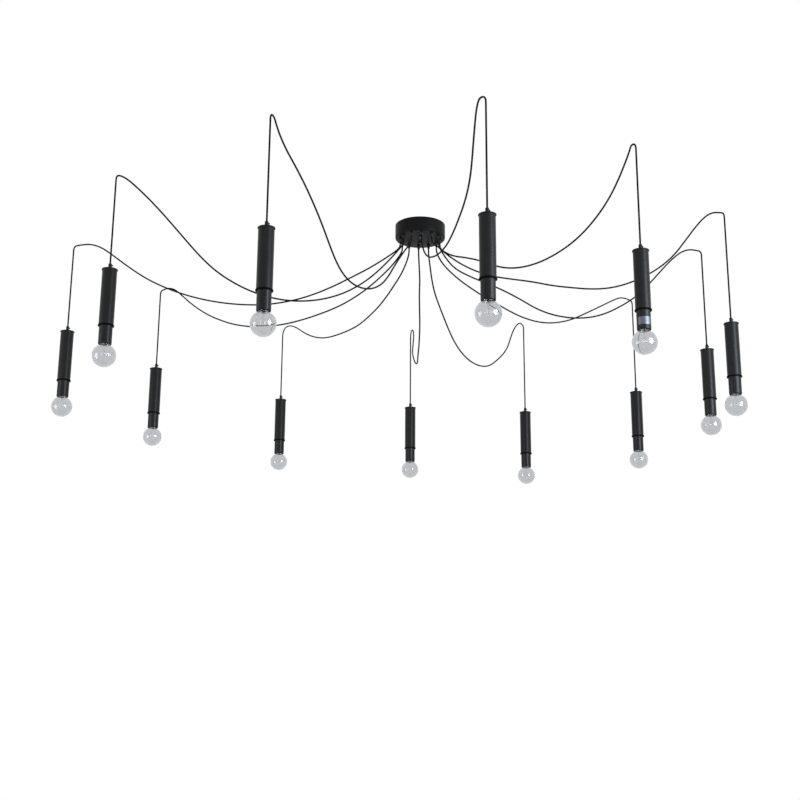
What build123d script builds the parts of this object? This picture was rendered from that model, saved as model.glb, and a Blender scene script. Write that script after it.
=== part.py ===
from build123d import *
import math
import os

os.makedirs("parts", exist_ok=True)

# A swagged ceiling light. One round canopy feeds twelve cords. Each cord droops to its own place on the
# ceiling, folds over there and carries a slim cylinder pendant with a bare globe bulb.
# Millimetres, +Z up. The origin is the centre of the canopy's rim, on the ceiling.

# Clearances
SEAT = 0.1              # between solids that seat on each other
RUN = 0.3               # between bodies that move on each other
CORD_SLACK = 0.15       # round a cord in its bore
OVERRUN = 1.0           # how far a cut runs past the face that it opens
SMALL_SIDES = 8         # flats that stand for the round on pieces under 14 mm
HEX_SIDES = 6
ROUND_SIDES = 16        # and on the pendants and their bulbs, which repeat twelve times

# Canopy
CANOPY_D = 190.0
CANOPY_H = 54.0
CANOPY_WALL = 1.5
CANOPY_EDGE_R = 5.0
CANOPY_SIDES = 60
CANOPY_EDGE_STEPS = 3   # flats round the soft lower edge
ARMS = 12
GLAND_RING_R = 75.0
GLAND_START = 3.5       # bearing of the first gland, in degrees

# Cord glands in the canopy's floor
GLAND_D = 12.0
GLAND_COLLAR_H = 4.5
GLAND_H = 12.5
GLAND_TIP_D = 8.8
GLAND_THREAD_D = 9.0
GLAND_THREAD_H = 7.0
LOCKNUT_D = 14.0
LOCKNUT_H = 3.5

# Ceiling bracket, its two studs and the cap nuts that hold the canopy up
BRACKET_L = 130.0
BRACKET_W = 22.0
BRACKET_T = 2.0
SLOT_SPACING = 90.0
SLOT_L = 22.0
SLOT_W = 5.0
CENTRE_HOLE_D = 10.5
STUD_SPACING = 60.0
STUD_D = 4.8
STUD_SLACK = 0.25
STUD_BELOW = 6.0        # how far a stud comes out under the canopy
STUD_NUT_D = 9.0
STUD_NUT_H = 3.2
CAP_NUT_D = 9.0
CAP_NUT_H = 8.5
CAP_NUT_DOME_H = 3.2
CAP_NUT_BROW_D = 7.5    # half way round the dome
CAP_NUT_BROW_H = 0.95   # and its height over the nut's end
CAP_NUT_TOP_D = 4.0
EARTH_SCREW_D = 3.6
EARTH_HEAD_D = 7.0
EARTH_HEAD_H = 2.4
EARTH_PLACE = 17.0      # from the bracket's middle to the earth screw

# Terminal block and the cords' tails inside the canopy
BLOCK_L = 36.0
BLOCK_W = 17.0
BLOCK_H = 14.0
BLOCK_POLES = 3
BLOCK_SCREW_D = 4.2
BLOCK_SCREW_H = 1.2
BLOCK_ROW = 9.0         # between the two rows of terminal screws
LEAD_D = 2.6
LEAD_SIDES = 4
LEAD_PITCH = 5.4        # between leads along the terminal block
LEAD_RISE = 23.0        # how high a lead lies over the canopy's floor
LEAD_BEND_R = 6.0

# Cord
CORD_D = 6.0
CORD_SIDES = 4          # flats that stand for the cord's round
CORD_IN_GLAND = 10.0    # how far up in its gland a hanging cord begins
BEND_SHARE = 0.45       # of the shorter run beside a bend, which the bend may use
SWING_Z = -46.0         # height of the swing pivot, just under the fold at the ceiling
DROP_TIP_D = 1.6        # the drop's tapered top, which tips under the fold as the pendant swings
DROP_TIP_H = 1.4

# Pendant
TUBE_D = 50.0
TUBE_L = 200.0
TUBE_WALL = 1.5
LIP_D = 54.5            # of the cap and of the tube's lower end
LIP_H = 3.0
GRIP_D = 12.0
GRIP_H = 21.0
GRIP_TIP_H = 2.5        # the grip's chamfered top
GRIP_CORD_L = 17.0      # how deep the cord goes into the grip
GRIP_SCREW_D = 5.0
GRIP_SCREW_OUT = 4.0
HOLDER_D = 45.0
HOLDER_OUT = 65.0       # how far the lampholder comes out of the tube
HOLDER_IN = 16.0
HOLDER_FLANGE_H = 3.0
HOLDER_MOUTH_D = 40.0
HOLDER_MOUTH_H = 13.0
SOCKET_H = 29.0

# Bulb
GLOBE_D = 80.0
GLOBE_DROP = 104.0      # from the tube's lower lip to the globe's centre
GLASS_T = 1.0
GLOBE_STEPS = 6         # flats from the globe's pole to its neck
POLE_SHARE = 0.12       # the flat at the globe's pole, of its radius
NECK_D = 31.0
CAP_D = 26.0
CAP_H = 22.0
CAP_LAP = 5.0           # how far the cap laps the neck
CONTACT_D = 10.0
CONTACT_H = 3.0

# Each arm's heading in degrees, the drop from the ceiling to its pendant's cap, and its cord's points.
# A point is (reach, aside, height): level from the gland towards the hook, to the left of that line,
# and up from the ceiling. The last one is over the swing pivot.
ROUTES = [
    (12.57, 415, [
        (0, 0, -84), (7, 0, -101), (24, 0, -127), (58, 0, -166), (120, -1, -194), (188, -2, -216),
        (256, -2, -240), (320, -1, -269), (384, 0, -302), (452, 2, -321), (524, 2, -327), (594, 1, -321),
        (660, 0, -301), (722, 0, -268), (780, 1, -230), (830, 2, -186), (874, 1, -138), (918, 0, -88),
        (958, -3, -46), (996, -7, -14), (1030, -10, -3), (1060, -7, -3), (1086, 0, -3)]),
    (42.07, 427, [
        (0, 0, -84), (8, 0, -101), (27, 0, -123), (64, 0, -147), (126, 1, -172), (192, 1, -191),
        (262, 0, -209), (334, -2, -222), (406, -3, -237), (478, -2, -245), (550, 0, -245), (620, 2, -238),
        (688, 2, -223), (754, 1, -202), (818, 0, -175), (880, -1, -142), (944, -2, -108), (1008, -3, -73),
        (1070, -5, -39), (1124, -7, -11), (1168, -7, -3), (1202, -4, -3), (1228, 0, -3)]),
    (67.48, 430, [
        (0, 0, -86), (6, 0, -104), (17, 0, -134), (36, 0, -182), (66, 0, -226), (114, 1, -257),
        (164, 2, -287), (220, 2, -322), (284, 1, -357), (352, 0, -379), (424, -1, -389), (496, -2, -391),
        (566, -2, -384), (634, -1, -372), (702, 0, -354), (768, 1, -329), (832, 2, -297), (896, 1, -261),
        (958, 0, -222), (1014, 0, -178), (1058, 0, -123), (1102, -1, -73), (1150, -2, -33),
        (1204, -3, -6), (1242, -2, -3), (1273, 0, -3)]),
    (90.83, 385, [
        (0, 0, -86), (4, -1, -105), (13, -3, -136), (30, -6, -184), (60, -5, -226), (106, -7, -260),
        (160, -10, -290), (218, -12, -321), (280, -12, -347), (348, -12, -364), (420, -11, -371),
        (492, -12, -371), (562, -13, -363), (630, -12, -348), (696, -9, -327), (758, -6, -300),
        (818, -3, -268), (878, -1, -235), (938, -1, -201), (998, -4, -163), (1056, -8, -118),
        (1108, -11, -72), (1160, -11, -35), (1212, -8, -11), (1250, -3, -4), (1276, 0, -21)]),
    (115.74, 357, [
        (0, 0, -84), (9, 0, -101), (29, 0, -122), (68, 0, -150), (130, 1, -177), (198, 2, -203),
        (268, 2, -222), (340, 0, -231), (412, -2, -237), (486, -3, -240), (558, -2, -237), (630, 0, -231),
        (702, 2, -223), (774, 3, -212), (846, 2, -197), (916, 0, -177), (984, -2, -154), (1050, -3, -127),
        (1114, -2, -97), (1176, 0, -63), (1236, 2, -33), (1292, 3, -13), (1342, 2, -4), (1377, 0, -6),
        (1397, 0, -23)]),
    (145.64, 360, [
        (0, 0, -84), (8, 0, -100), (25, 0, -118), (56, 0, -145), (108, -1, -178), (168, -2, -210),
        (234, -3, -236), (304, -3, -256), (376, -1, -269), (448, 1, -278), (520, 2, -283), (592, 2, -283),
        (664, 1, -277), (734, 0, -267), (802, -1, -251), (868, -1, -230), (932, 0, -203), (994, 1, -172),
        (1054, 2, -135), (1110, 4, -94), (1160, 6, -51), (1200, 9, -17), (1236, 12, -3), (1272, 9, -3),
        (1300, 0, -3)]),
    (169.97, 361, [
        (0, 0, -83), (9, 0, -97), (30, 0, -112), (64, 0, -134), (122, 1, -168), (184, 2, -198),
        (250, 2, -229), (320, 1, -256), (392, 0, -276), (466, -2, -287), (540, -3, -291), (612, -2, -287),
        (684, 0, -278), (754, 2, -264), (822, 3, -245), (888, 2, -221), (952, 0, -192), (1012, -1, -160),
        (1066, 0, -124), (1118, 3, -86), (1168, 7, -47), (1212, 10, -17), (1256, 12, -3), (1298, 8, -3),
        (1330, 0, -3)]),
    (201.99, 349, [
        (0, 0, -84), (7, 0, -98), (22, 0, -118), (48, 0, -151), (88, -1, -198), (132, -2, -243),
        (182, -2, -284), (240, -1, -321), (306, 1, -350), (376, 2, -369), (448, 2, -377), (520, 1, -373),
        (588, -1, -358), (652, -2, -334), (712, -2, -302), (764, -1, -262), (812, 1, -217), (860, 2, -169),
        (908, 2, -121), (956, 3, -77), (1000, 4, -41), (1038, 6, -14), (1062, 4, -3), (1078, 0, -3)]),
    (241.86, 381, [
        (0, 0, -84), (8, 0, -98), (25, 0, -117), (58, 0, -149), (102, 1, -195), (144, 2, -242),
        (184, 2, -291), (232, 1, -336), (292, -1, -370), (360, -2, -390), (430, -2, -395), (496, -1, -380),
        (550, 1, -346), (598, 2, -297), (644, 2, -247), (692, 1, -200), (742, -1, -155), (796, -2, -116),
        (850, -1, -85), (892, 1, -54), (916, 2, -27), (932, 2, -3), (947, 0, -3)]),
    (280.43, 384, [
        (0, 0, -84), (7, 0, -101), (22, 0, -126), (50, 0, -156), (100, 0, -189), (162, -1, -217),
        (228, -1, -239), (298, 0, -255), (368, 0, -266), (438, -1, -273), (508, -3, -273), (576, -5, -268),
        (642, -7, -259), (704, -8, -246), (756, -8, -222), (796, -8, -187), (824, -9, -142),
        (850, -11, -96), (882, -14, -54), (918, -18, -22), (954, -18, -3), (963, 0, -3)]),
    (314.92, 372, [
        (0, 0, -82), (9, 0, -95), (27, 0, -112), (58, 0, -142), (106, 1, -174), (168, 2, -196),
        (232, 2, -223), (298, 1, -260), (366, -1, -290), (436, -2, -305), (508, -2, -307), (578, -1, -296),
        (644, 1, -275), (704, 2, -244), (758, 2, -204), (804, 1, -160), (842, -1, -111), (872, -2, -61),
        (893, -5, -27), (905, -8, -3), (917, 0, -3)]),
    (353.65, 432, [
        (0, 0, -84), (6, 0, -99), (20, 0, -118), (47, 0, -141), (90, -1, -173), (148, -2, -204),
        (214, -2, -226), (284, -1, -238), (354, 1, -249), (424, 2, -266), (494, 2, -276), (566, 1, -285),
        (636, -1, -284), (704, -2, -268), (768, -2, -240), (826, -1, -205), (876, 0, -160),
        (920, -2, -103), (958, -4, -53), (992, -7, -17), (1020, -9, -3), (1045, -6, -3), (1063, 0, -3)]),
]


def write(node, name):
    """Label one sub-part and write its STEP file."""
    node.part.label = name
    export_step(node.part, f"parts/{name}.step")


def gland_place(index):
    """The gland's place in the canopy's floor."""
    bearing = math.radians(GLAND_START + index * 360 / ARMS)
    return GLAND_RING_R * math.cos(bearing), GLAND_RING_R * math.sin(bearing)


def on_arm(index, point):
    """A (reach, aside, height) point of one arm, in the light's own frame."""
    reach, aside, height = point
    heading = math.radians(ROUTES[index][0])
    x, y = gland_place(index)
    return (x + reach * math.cos(heading) - aside * math.sin(heading),
            y + reach * math.sin(heading) + aside * math.cos(heading), height)


def bend_radii(points):
    """The largest radius that each inner point's two runs leave room for."""
    radii = []
    for before, at, after in zip(points, points[1:], points[2:]):
        arriving, leaving = Vector(*at) - Vector(*before), Vector(*after) - Vector(*at)
        half_turn = math.radians(arriving.get_angle(leaving) / 2)
        radii.append(BEND_SHARE * min(arriving.length, leaving.length) / math.tan(half_turn))
    return radii


def swag_points(index):
    """One cord from inside its gland to the swing pivot."""
    start = (0, 0, CORD_IN_GLAND - CANOPY_H - GLAND_H)
    reach, aside, height = ROUTES[index][2][-1]
    end = (reach, aside, SWING_Z + RUN)
    return [on_arm(index, point) for point in [start, *ROUTES[index][2], end]]


def pivot_place(index):
    """The point that one pendant swings about."""
    x, y, height = on_arm(index, ROUTES[index][2][-1])
    return x, y, SWING_Z


def pendant_axis(index):
    """The origin of one pendant, at the middle of its cap's top face."""
    x, y, height = pivot_place(index)
    return x, y, -ROUTES[index][1]


def gland_ring():
    """The twelve gland places, for a context."""
    return PolarLocations(GLAND_RING_R, ARMS, start_angle=GLAND_START)


def around(radius, sides):
    """The corner radius of a polygon that clears a circle."""
    return radius / math.cos(math.pi / sides)


def faceted(rings, sides=ROUND_SIDES, place=(0, 0, 0)):
    """A round solid in plane flats, through its (radius, height) rings over a place."""
    turns = [2 * math.pi * count / sides for count in range(sides)]
    corners = [[Vector(radius * math.cos(turn), radius * math.sin(turn), height) + Vector(*place)
                for turn in turns] for radius, height in rings]
    outlines = [corners[0], corners[-1]]
    for low, high in zip(corners, corners[1:]):
        outlines += [(low[count - 1], low[count], high[count], high[count - 1]) for count in range(sides)]
    return Solid(Shell([Face(Wire.make_polygon(outline)) for outline in outlines]))


def cup_rings(inset, top):
    """The canopy's outline, moved in by a wall, from the rim down round the soft edge to the floor."""
    edge_r, centre_r, centre_z = CANOPY_EDGE_R - inset, CANOPY_D / 2 - CANOPY_EDGE_R, CANOPY_EDGE_R - CANOPY_H
    turns = [math.pi / 2 * step / CANOPY_EDGE_STEPS for step in range(CANOPY_EDGE_STEPS + 1)]
    edge = [(centre_r + edge_r * math.cos(turn), centre_z - edge_r * math.sin(turn)) for turn in turns]
    return [(CANOPY_D / 2 - inset, top), *edge]


# Canopy shell: a drawn steel cup with a soft lower edge, open towards the ceiling
with BuildPart() as canopy_shell:
    add(faceted(cup_rings(0, 0), CANOPY_SIDES))
    add(faceted(cup_rings(CANOPY_WALL, OVERRUN), CANOPY_SIDES), mode=Mode.SUBTRACT)
    with BuildSketch(Plane.XY.offset(-CANOPY_H - OVERRUN)):
        with gland_ring():
            RegularPolygon(GLAND_THREAD_D / 2 + SEAT, SMALL_SIDES)
        with GridLocations(0, STUD_SPACING, 1, 2):
            RegularPolygon(STUD_D / 2 + STUD_SLACK, SMALL_SIDES)
    extrude(amount=CANOPY_WALL + 2 * OVERRUN, mode=Mode.SUBTRACT)
write(canopy_shell, "canopy_shell")

FLOOR_Z = -CANOPY_H + CANOPY_WALL

# Cord glands: a hexagon collar under the floor, a tapered nose, and a thread up through the hole
with BuildPart() as cord_glands:
    with BuildSketch(Plane.XY.offset(-CANOPY_H - SEAT)):
        with gland_ring():
            RegularPolygon(GLAND_D / 2, HEX_SIDES)
    extrude(amount=-GLAND_COLLAR_H + SEAT)
    for arm in range(ARMS):
        with BuildSketch(Plane((*gland_place(arm), -CANOPY_H - GLAND_COLLAR_H))):
            RegularPolygon(GLAND_D / 2 * math.cos(math.pi / HEX_SIDES), SMALL_SIDES)
        with BuildSketch(Plane((*gland_place(arm), -CANOPY_H - GLAND_H))):
            RegularPolygon(GLAND_TIP_D / 2, SMALL_SIDES)
        loft()
    with BuildSketch(Plane.XY.offset(-CANOPY_H - SEAT)):
        with gland_ring():
            RegularPolygon(GLAND_THREAD_D / 2, SMALL_SIDES)
    extrude(amount=GLAND_THREAD_H + SEAT)
    with BuildSketch(Plane.XY.offset(-CANOPY_H - GLAND_H - OVERRUN)):
        with gland_ring():
            RegularPolygon(around(CORD_D / 2 + CORD_SLACK, SMALL_SIDES), SMALL_SIDES)
    extrude(amount=GLAND_H + GLAND_THREAD_H + 2 * OVERRUN, mode=Mode.SUBTRACT)
write(cord_glands, "cord_glands")

# Locknuts on the glands' threads, on the canopy's floor
with BuildPart() as gland_locknuts:
    with BuildSketch(Plane.XY.offset(FLOOR_Z + SEAT)):
        with gland_ring():
            RegularPolygon(LOCKNUT_D / 2, HEX_SIDES)
            RegularPolygon(GLAND_THREAD_D / 2 + SEAT, SMALL_SIDES, mode=Mode.SUBTRACT)
    extrude(amount=LOCKNUT_H)
write(gland_locknuts, "gland_locknuts")

# Ceiling bracket: a flat bar with two slots for the ceiling's screws
with BuildPart() as ceiling_bracket:
    with BuildSketch(Plane.XY.offset(-BRACKET_T)):
        SlotOverall(BRACKET_L, BRACKET_W, rotation=90)
        with GridLocations(0, SLOT_SPACING, 1, 2):
            SlotOverall(SLOT_L, SLOT_W, rotation=90, mode=Mode.SUBTRACT)
        with GridLocations(0, STUD_SPACING, 1, 2):
            RegularPolygon(STUD_D / 2 + SEAT, SMALL_SIDES, mode=Mode.SUBTRACT)
        Circle(CENTRE_HOLE_D / 2, mode=Mode.SUBTRACT)
        with Locations((0, -EARTH_PLACE)):
            RegularPolygon(EARTH_SCREW_D / 2 + SEAT, SMALL_SIDES, mode=Mode.SUBTRACT)
    extrude(amount=BRACKET_T)
write(ceiling_bracket, "ceiling_bracket")

# Two threaded studs hang from the bracket and come out through the canopy's floor
with BuildPart() as canopy_studs:
    with BuildSketch(Plane.XY.offset(-BRACKET_T / 2)):
        with GridLocations(0, STUD_SPACING, 1, 2):
            RegularPolygon(STUD_D / 2, SMALL_SIDES)
    extrude(amount=-(CANOPY_H + STUD_BELOW - BRACKET_T / 2))
write(canopy_studs, "canopy_studs")

with BuildPart() as stud_nuts:
    with BuildSketch(Plane.XY.offset(-BRACKET_T - SEAT)):
        with GridLocations(0, STUD_SPACING, 1, 2):
            RegularPolygon(STUD_NUT_D / 2, HEX_SIDES)
            RegularPolygon(STUD_D / 2 + SEAT, SMALL_SIDES, mode=Mode.SUBTRACT)
    extrude(amount=-STUD_NUT_H)
write(stud_nuts, "stud_nuts")

# Domed cap nuts hold the canopy up against the ceiling
with BuildPart() as cap_nuts:
    rings = [(CAP_NUT_D / 2, -SEAT), (CAP_NUT_D / 2, CAP_NUT_DOME_H - CAP_NUT_H),
             (CAP_NUT_BROW_D / 2, CAP_NUT_BROW_H - CAP_NUT_H), (CAP_NUT_TOP_D / 2, -CAP_NUT_H)]
    for side in (-1, 1):
        add(faceted(rings, SMALL_SIDES, (0, side * STUD_SPACING / 2, -CANOPY_H)))
    with BuildSketch(Plane.XY.offset(-CANOPY_H)):
        with GridLocations(0, STUD_SPACING, 1, 2):
            RegularPolygon(STUD_D / 2 + SEAT, SMALL_SIDES)
    extrude(amount=-STUD_BELOW - SEAT, mode=Mode.SUBTRACT)
write(cap_nuts, "cap_nuts")

# Earth screw, up through the bracket from below
with BuildPart() as earth_screw:
    with BuildSketch(Plane((0, -EARTH_PLACE, -BRACKET_T - SEAT))):
        RegularPolygon(EARTH_HEAD_D / 2, SMALL_SIDES)
    extrude(amount=-EARTH_HEAD_H)
    with BuildSketch(Plane((0, -EARTH_PLACE, -BRACKET_T - SEAT))):
        RegularPolygon(EARTH_SCREW_D / 2, SMALL_SIDES)
    extrude(amount=BRACKET_T)
write(earth_screw, "earth_screw")

# Terminal block on the canopy's floor, moulded as one strip with a groove between its poles
BLOCK_Z = FLOOR_Z + SEAT
POLE_PITCH = BLOCK_L / BLOCK_POLES
with BuildPart() as terminal_block:
    with BuildSketch(Plane.XY.offset(BLOCK_Z)):
        Rectangle(BLOCK_W, BLOCK_L)
    extrude(amount=BLOCK_H)
    with BuildSketch(Plane.XY.offset(BLOCK_Z + BLOCK_H)):
        with GridLocations(0, POLE_PITCH, 1, BLOCK_POLES - 1):
            Rectangle(BLOCK_W, BLOCK_SCREW_H)
        with GridLocations(BLOCK_ROW, POLE_PITCH, 2, BLOCK_POLES):
            RegularPolygon(BLOCK_SCREW_D / 2 + SEAT, SMALL_SIDES)
    extrude(amount=-2 * BLOCK_SCREW_H, mode=Mode.SUBTRACT)
write(terminal_block, "terminal_block")

with BuildPart() as terminal_screws:
    with BuildSketch(Plane.XY.offset(BLOCK_Z + BLOCK_H - 2 * BLOCK_SCREW_H + SEAT)):
        with GridLocations(BLOCK_ROW, POLE_PITCH, 2, BLOCK_POLES):
            RegularPolygon(BLOCK_SCREW_D / 2, SMALL_SIDES)
    extrude(amount=BLOCK_SCREW_H)
write(terminal_screws, "terminal_screws")


def lead_points(index):
    """One stripped lead, from its cord's tail over the canopy's floor to the side of the terminal block."""
    x, y = gland_place(index)
    rank = sum(gland_place(other)[1] < y for other in range(ARMS) if gland_place(other)[0] * x > 0)
    side = math.copysign(1, x)
    row = (rank - (ARMS / 2 - 1) / 2) * LEAD_PITCH
    entry_z = BLOCK_Z + BLOCK_H / 2
    return [(x, y, FLOOR_Z + GLAND_THREAD_H), (x, y, FLOOR_Z + LEAD_RISE), (side * BLOCK_W, row, entry_z),
            (side * (BLOCK_W / 2 + SEAT), row, entry_z)]


# Cord tails, up through the glands to the terminal block
with BuildPart() as inner_leads:
    with BuildSketch(Plane.XY.offset(-CANOPY_H - GLAND_H + CORD_IN_GLAND + RUN)):
        with gland_ring():
            RegularPolygon(CORD_D / 2, CORD_SIDES)
    extrude(amount=GLAND_H - CORD_IN_GLAND + CANOPY_WALL + GLAND_THREAD_H)
    for arm in range(ARMS):
        points = lead_points(arm)
        with BuildLine() as lead_path:
            FilletPolyline(*points, radius=[min(LEAD_BEND_R, radius) for radius in bend_radii(points)])
        with BuildSketch(Plane(lead_path.line @ 0, z_dir=lead_path.line % 0)):
            RegularPolygon(LEAD_D / 2, LEAD_SIDES)
        sweep()
write(inner_leads, "inner_leads")


def make_swag(index):
    """The drooping stretch of one cord: straight runs and tangent arcs."""
    points = swag_points(index)
    radii = bend_radii(points)
    with BuildPart() as swag:
        with BuildLine() as path:
            FilletPolyline(*points, radius=radii)
        with BuildSketch(Plane(path.line @ 0, z_dir=path.line % 0)) as section:
            RegularPolygon(CORD_D / 2, CORD_SIDES)
        sweep()
    length = sum(edge.length for edge in path.edges())
    expected = section.sketch.area * length
    print(f"swag_cord_{index + 1:02d}: {length:.0f} mm,",
          f"volume {swag.part.volume:.0f} of {expected:.0f} mm3,",
          f"least radius {min(radii):.1f}, radii", " ".join(f"{radius:.0f}" for radius in radii))
    return swag


def make_drop(index):
    """The straight stretch of one cord, from its tapered top at the pivot down into the grip."""
    x, y, top = pivot_place(index)
    bottom = pendant_axis(index)[2] + GRIP_H - GRIP_CORD_L
    rings = [(CORD_D / 2, bottom), (CORD_D / 2, top - DROP_TIP_H), (DROP_TIP_D / 2, top)]
    with BuildPart() as drop:
        add(faceted(rings, CORD_SIDES, (x, y, 0)))
    return drop


def make_housing():
    """A pendant's tube, cap, lampholder and cord grip with its screw. The origin is the cap's top."""
    inner_r, bore_r = TUBE_D / 2 - TUBE_WALL, around(CORD_D / 2 + CORD_SLACK, SMALL_SIDES)
    flange_z, mouth_z = HOLDER_IN - TUBE_L, -TUBE_L - HOLDER_OUT
    socket_z = mouth_z + HOLDER_MOUTH_H
    chamber_z = socket_z + SOCKET_H + HOLDER_FLANGE_H
    socket_r = around(CAP_D / 2 + RUN, ROUND_SIDES)
    with BuildPart() as housing:
        # Tube with a lip at its open lower end
        add(faceted([(TUBE_D / 2, -LIP_H - SEAT), (TUBE_D / 2, -TUBE_L)]))
        add(faceted([(LIP_D / 2, LIP_H - TUBE_L), (LIP_D / 2, -TUBE_L)]))
        add(faceted([(inner_r, 0), (inner_r, -TUBE_L - OVERRUN)]), mode=Mode.SUBTRACT)
        # Cap, plugged into the tube
        add(faceted([(LIP_D / 2, 0), (LIP_D / 2, -LIP_H)]))
        add(faceted([(inner_r - SEAT, -LIP_H), (inner_r - SEAT, -2 * LIP_H)]))
        # Lampholder: its flange seats in the tube, its mouth goes round the bulb's neck, and over the socket
        # is a chamber for the wires
        add(faceted([(inner_r - SEAT, flange_z), (inner_r - SEAT, flange_z - HOLDER_FLANGE_H)]))
        add(faceted([(HOLDER_D / 2, flange_z - HOLDER_FLANGE_H), (HOLDER_D / 2, mouth_z)]))
        for radius, low, high in ((HOLDER_MOUTH_D / 2, mouth_z - OVERRUN, socket_z),
                                  (socket_r, socket_z - OVERRUN, socket_z + SOCKET_H),
                                  (HOLDER_MOUTH_D / 2, chamber_z, flange_z + OVERRUN)):
            add(faceted([(radius, low), (radius, high)]), mode=Mode.SUBTRACT)
        # Cord grip: a small turned post, bored for the cord
        add(faceted([(GRIP_D / 2, SEAT), (GRIP_D / 2, GRIP_H - GRIP_TIP_H),
                     (GRIP_D / 2 - GRIP_TIP_H / 2, GRIP_H)], SMALL_SIDES))
        bore = [(bore_r, GRIP_H - GRIP_CORD_L - RUN), (bore_r, GRIP_H + OVERRUN)]
        add(faceted(bore, SMALL_SIDES), mode=Mode.SUBTRACT)
        # Grip screw, out of one of the grip's flats
        out = Vector(1, 0, 0).rotate(Axis.Z, 180 / SMALL_SIDES)
        screw_start = out * (GRIP_D / 2 * math.cos(math.pi / SMALL_SIDES) + SEAT)
        with BuildSketch(Plane(screw_start + Vector(0, 0, GRIP_H / 2), z_dir=out)):
            RegularPolygon(GRIP_SCREW_D / 2, SMALL_SIDES)
        extrude(amount=GRIP_SCREW_OUT)
    return housing


def globe_rings(inset, top):
    """Half the glass's outline, moved in by a wall, from the globe's pole up its neck to the top."""
    radius, neck_r, seat_r = GLOBE_D / 2 - inset, NECK_D / 2 - inset, CAP_D / 2 - GLASS_T - SEAT - inset
    centre, holder_z = -TUBE_L - GLOBE_DROP, HOLDER_MOUTH_H - TUBE_L - HOLDER_OUT
    step = (math.acos(neck_r / radius) + math.pi / 2) / GLOBE_STEPS
    turns = [(count + 1) * step - math.pi / 2 for count in range(GLOBE_STEPS)]
    return [(radius * POLE_SHARE, centre - radius),
            *[(radius * math.cos(turn), centre + radius * math.sin(turn)) for turn in turns],
            (seat_r, holder_z), (seat_r, top)]


def make_screw_cap(holder_z, neck_top):
    """The bulb's cap, a shell round the top of its neck with the contact on its end."""
    cap_r, skirt_r = CAP_D / 2, around(CAP_D / 2 - GLASS_T, ROUND_SIDES)
    cap_top = holder_z + CAP_H
    with BuildPart() as cap:
        add(faceted([(cap_r, holder_z + RUN), (cap_r, cap_top), (CONTACT_D / 2, cap_top + CONTACT_H)]))
        add(faceted([(skirt_r, holder_z), (skirt_r, neck_top + SEAT)]), mode=Mode.SUBTRACT)
    return cap


def make_bulb():
    """A clear globe bulb on the housing's origin: a thin blown envelope in its screw cap."""
    holder_z = HOLDER_MOUTH_H - TUBE_L - HOLDER_OUT
    neck_top = holder_z + RUN + CAP_LAP
    cap = make_screw_cap(holder_z, neck_top)
    with BuildPart() as bulb:
        add(faceted(globe_rings(0, neck_top)))
        add(faceted(globe_rings(GLASS_T, neck_top + OVERRUN)), mode=Mode.SUBTRACT)
        add(cap.part)
    return bulb


HOUSING = make_housing()
BULB = make_bulb()
for arm in range(ARMS):
    number = f"{arm + 1:02d}"
    write(make_swag(arm), f"swag_cord_{number}")
    write(make_drop(arm), f"drop_cord_{number}")
    for form, name in ((HOUSING, "pendant"), (BULB, "globe_bulb")):
        with BuildPart() as copy:
            with Locations(pendant_axis(arm)):
                add(form.part)
        write(copy, f"{name}_{number}")
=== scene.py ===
import math

import bmesh
import bpy
from mathutils import Matrix, Vector


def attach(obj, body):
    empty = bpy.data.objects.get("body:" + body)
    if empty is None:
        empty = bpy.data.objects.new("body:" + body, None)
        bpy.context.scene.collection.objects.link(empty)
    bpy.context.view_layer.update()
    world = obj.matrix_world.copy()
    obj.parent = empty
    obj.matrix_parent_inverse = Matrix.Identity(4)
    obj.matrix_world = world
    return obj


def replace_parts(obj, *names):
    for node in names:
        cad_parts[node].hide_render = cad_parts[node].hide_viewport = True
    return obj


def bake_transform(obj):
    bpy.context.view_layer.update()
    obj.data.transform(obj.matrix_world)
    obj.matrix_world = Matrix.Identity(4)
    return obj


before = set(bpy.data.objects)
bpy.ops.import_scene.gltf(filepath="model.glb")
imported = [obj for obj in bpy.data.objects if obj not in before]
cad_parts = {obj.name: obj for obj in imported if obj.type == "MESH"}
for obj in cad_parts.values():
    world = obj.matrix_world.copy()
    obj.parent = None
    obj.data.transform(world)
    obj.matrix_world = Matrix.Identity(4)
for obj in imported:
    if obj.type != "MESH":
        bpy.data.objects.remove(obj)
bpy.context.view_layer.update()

# A swagged ceiling light: a black canopy, twelve textile cords that droop to places on the ceiling, and
# twelve slim cylinder pendants with clear globe bulbs. Metres, +Z up, the ceiling at z = 0.

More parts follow.
